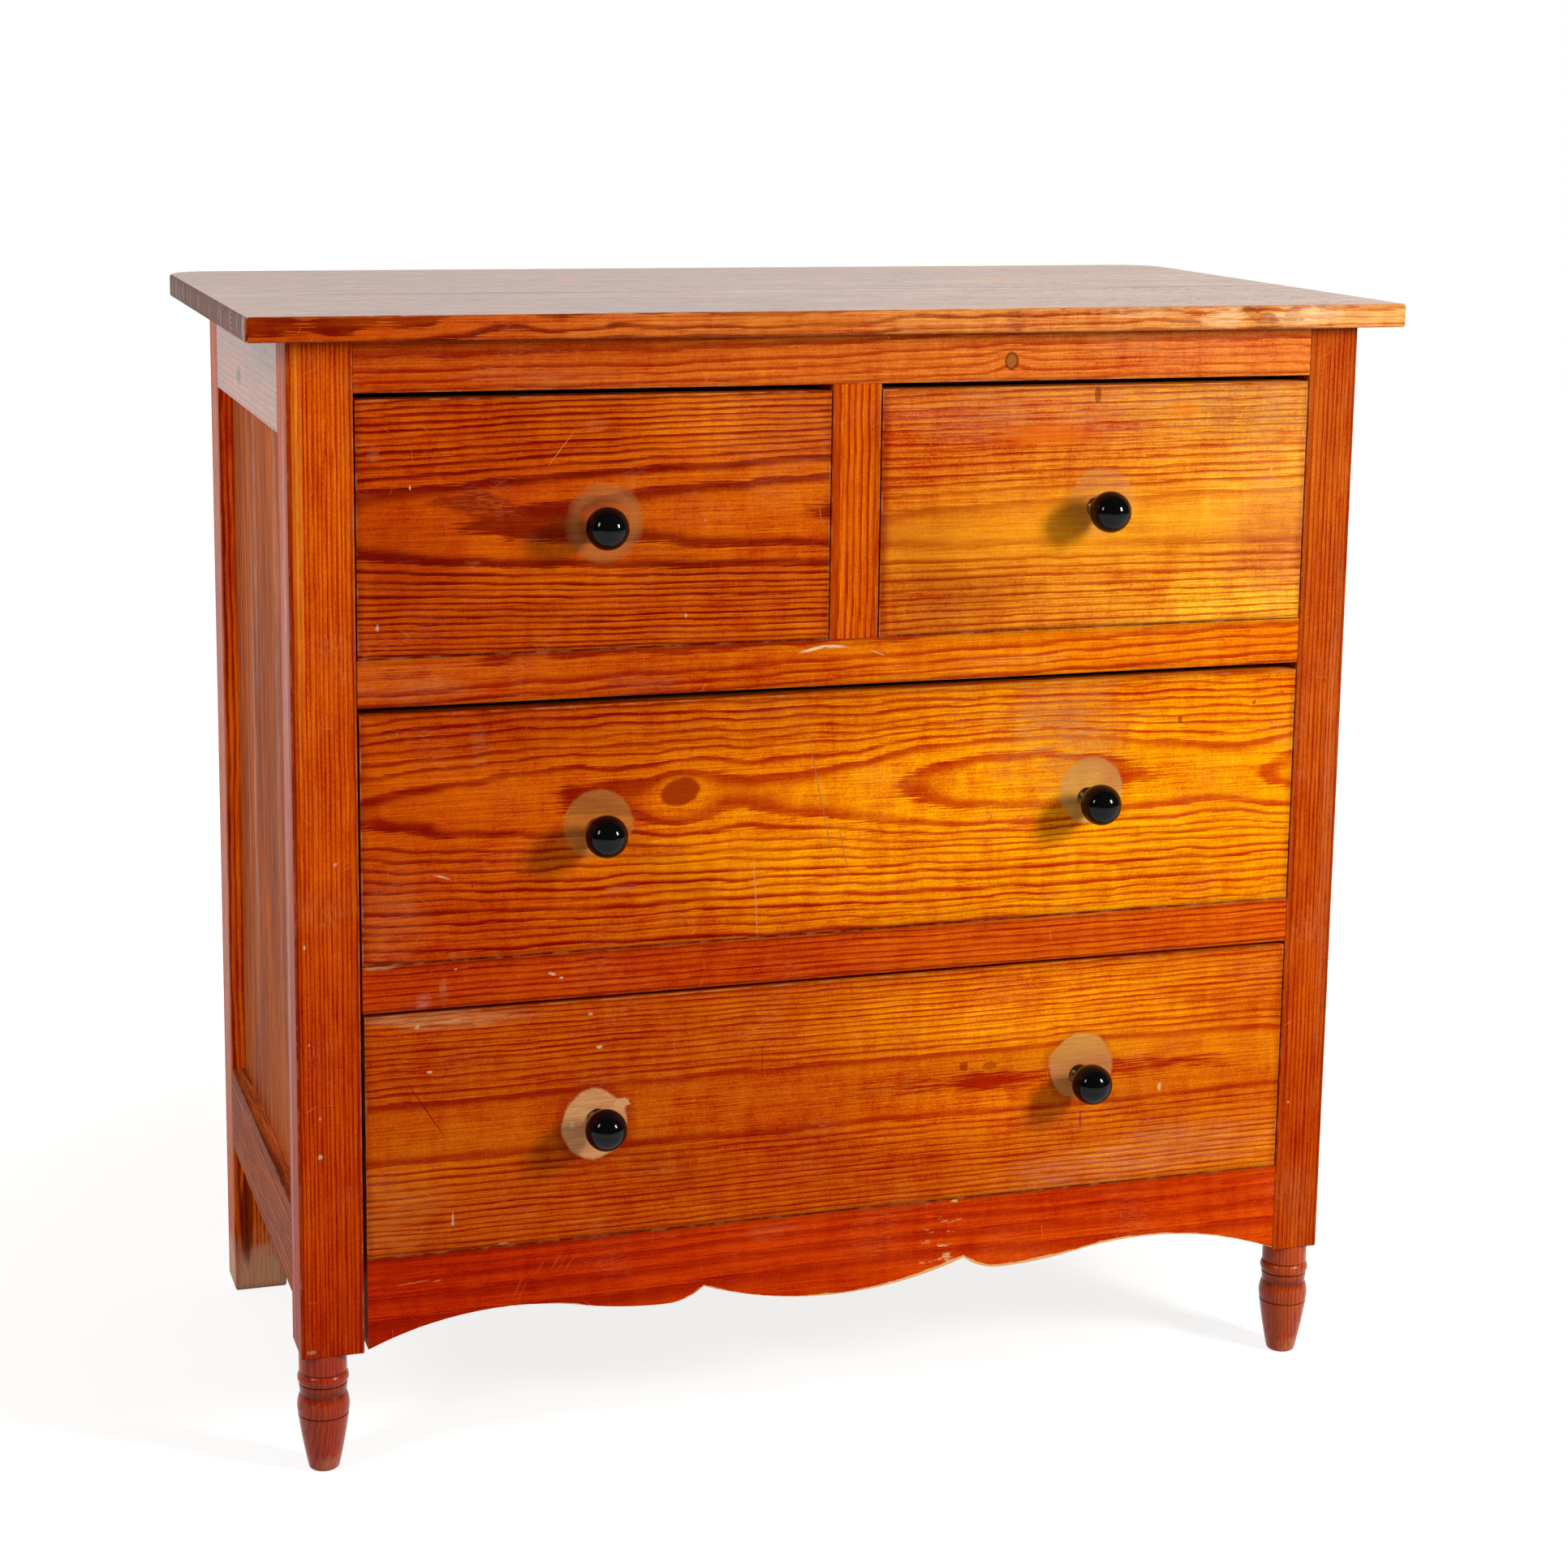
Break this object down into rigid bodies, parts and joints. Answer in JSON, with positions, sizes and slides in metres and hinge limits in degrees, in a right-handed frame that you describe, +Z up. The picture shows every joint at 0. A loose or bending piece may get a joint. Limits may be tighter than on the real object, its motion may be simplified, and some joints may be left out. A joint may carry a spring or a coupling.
{
  "type": "chest of drawers",
  "caption": "Varnished pine chest of drawers with small drawers over wide ones, panelled sides, turned front feet, scalloped apron and black ball knobs.",
  "frame": {"origin": "on the floor, under the middle of the chest's whole outline, top and knobs included", "axes": "+X to the chest's right as seen from the front, +Y to its back, +Z up; the drawers open towards -Y"},
  "size_m": [0.987, 0.5575, 0.958],
  "materials": {
    "varnished_pine": "stained and varnished, semi-gloss, worn",
    "bare_pine": "planed and left bare",
    "black_glaze": "glossy black",
    "brass": "dark aged brass",
    "steel": "dull"
  },
  "bodies": {
    "case": {"top_board": "varnished_pine", "front_post_left": "varnished_pine", "front_post_right": "varnished_pine", "rear_post_left": "varnished_pine", "rear_post_right": "varnished_pine", "side_top_rail_left": "varnished_pine", "side_top_rail_right": "varnished_pine", "side_bottom_rail_left": "varnished_pine", "side_bottom_rail_right": "varnished_pine", "side_panel_left": "varnished_pine", "side_panel_right": "varnished_pine", "front_top_rail": "varnished_pine", "upper_rail": "varnished_pine", "lower_rail": "varnished_pine", "scalloped_apron": "varnished_pine", "drawer_divider": "varnished_pine", "back_top_rail": "bare_pine", "back_upper_rail": "bare_pine", "back_bottom_rail": "bare_pine", "back_panel": "bare_pine", "upper_runner_left": "bare_pine", "upper_runner_right": "bare_pine", "upper_runner_centre": "bare_pine", "middle_runner_left": "bare_pine", "middle_runner_right": "bare_pine", "lower_runner_left": "bare_pine", "lower_runner_right": "bare_pine", "top_kicker": "bare_pine", "drawer_stops": "bare_pine", "top_screws": "steel", "back_nails": "steel"},
    "top_left_drawer": {"top_left_drawer_front": "varnished_pine", "top_left_drawer_left_side": "bare_pine", "top_left_drawer_right_side": "bare_pine", "top_left_drawer_back": "bare_pine", "top_left_drawer_bottom": "bare_pine", "top_left_knob_ball": "black_glaze", "top_left_knob_neck": "brass"},
    "top_right_drawer": {"top_right_drawer_front": "varnished_pine", "top_right_drawer_left_side": "bare_pine", "top_right_drawer_right_side": "bare_pine", "top_right_drawer_back": "bare_pine", "top_right_drawer_bottom": "bare_pine", "top_right_knob_ball": "black_glaze", "top_right_knob_neck": "brass"},
    "middle_drawer": {"middle_drawer_front": "varnished_pine", "middle_drawer_left_side": "bare_pine", "middle_drawer_right_side": "bare_pine", "middle_drawer_back": "bare_pine", "middle_drawer_bottom": "bare_pine", "middle_knob_ball": "black_glaze", "middle_knob_neck": "brass"},
    "bottom_drawer": {"bottom_drawer_front": "varnished_pine", "bottom_drawer_left_side": "bare_pine", "bottom_drawer_right_side": "bare_pine", "bottom_drawer_back": "bare_pine", "bottom_drawer_bottom": "bare_pine", "bottom_knob_ball": "black_glaze", "bottom_knob_neck": "brass"}
  },
  "joints": [
    {"name": "top_left_drawer_slide", "type": "slide", "parent": "case", "child": "top_left_drawer", "axis": [0, -1, 0], "range_m": [0, 0.32]},
    {"name": "top_right_drawer_slide", "type": "slide", "parent": "case", "child": "top_right_drawer", "axis": [0, -1, 0], "range_m": [0, 0.32]},
    {"name": "middle_drawer_slide", "type": "slide", "parent": "case", "child": "middle_drawer", "axis": [0, -1, 0], "range_m": [0, 0.32]},
    {"name": "bottom_drawer_slide", "type": "slide", "parent": "case", "child": "bottom_drawer", "axis": [0, -1, 0], "range_m": [0, 0.32]}
  ]
}
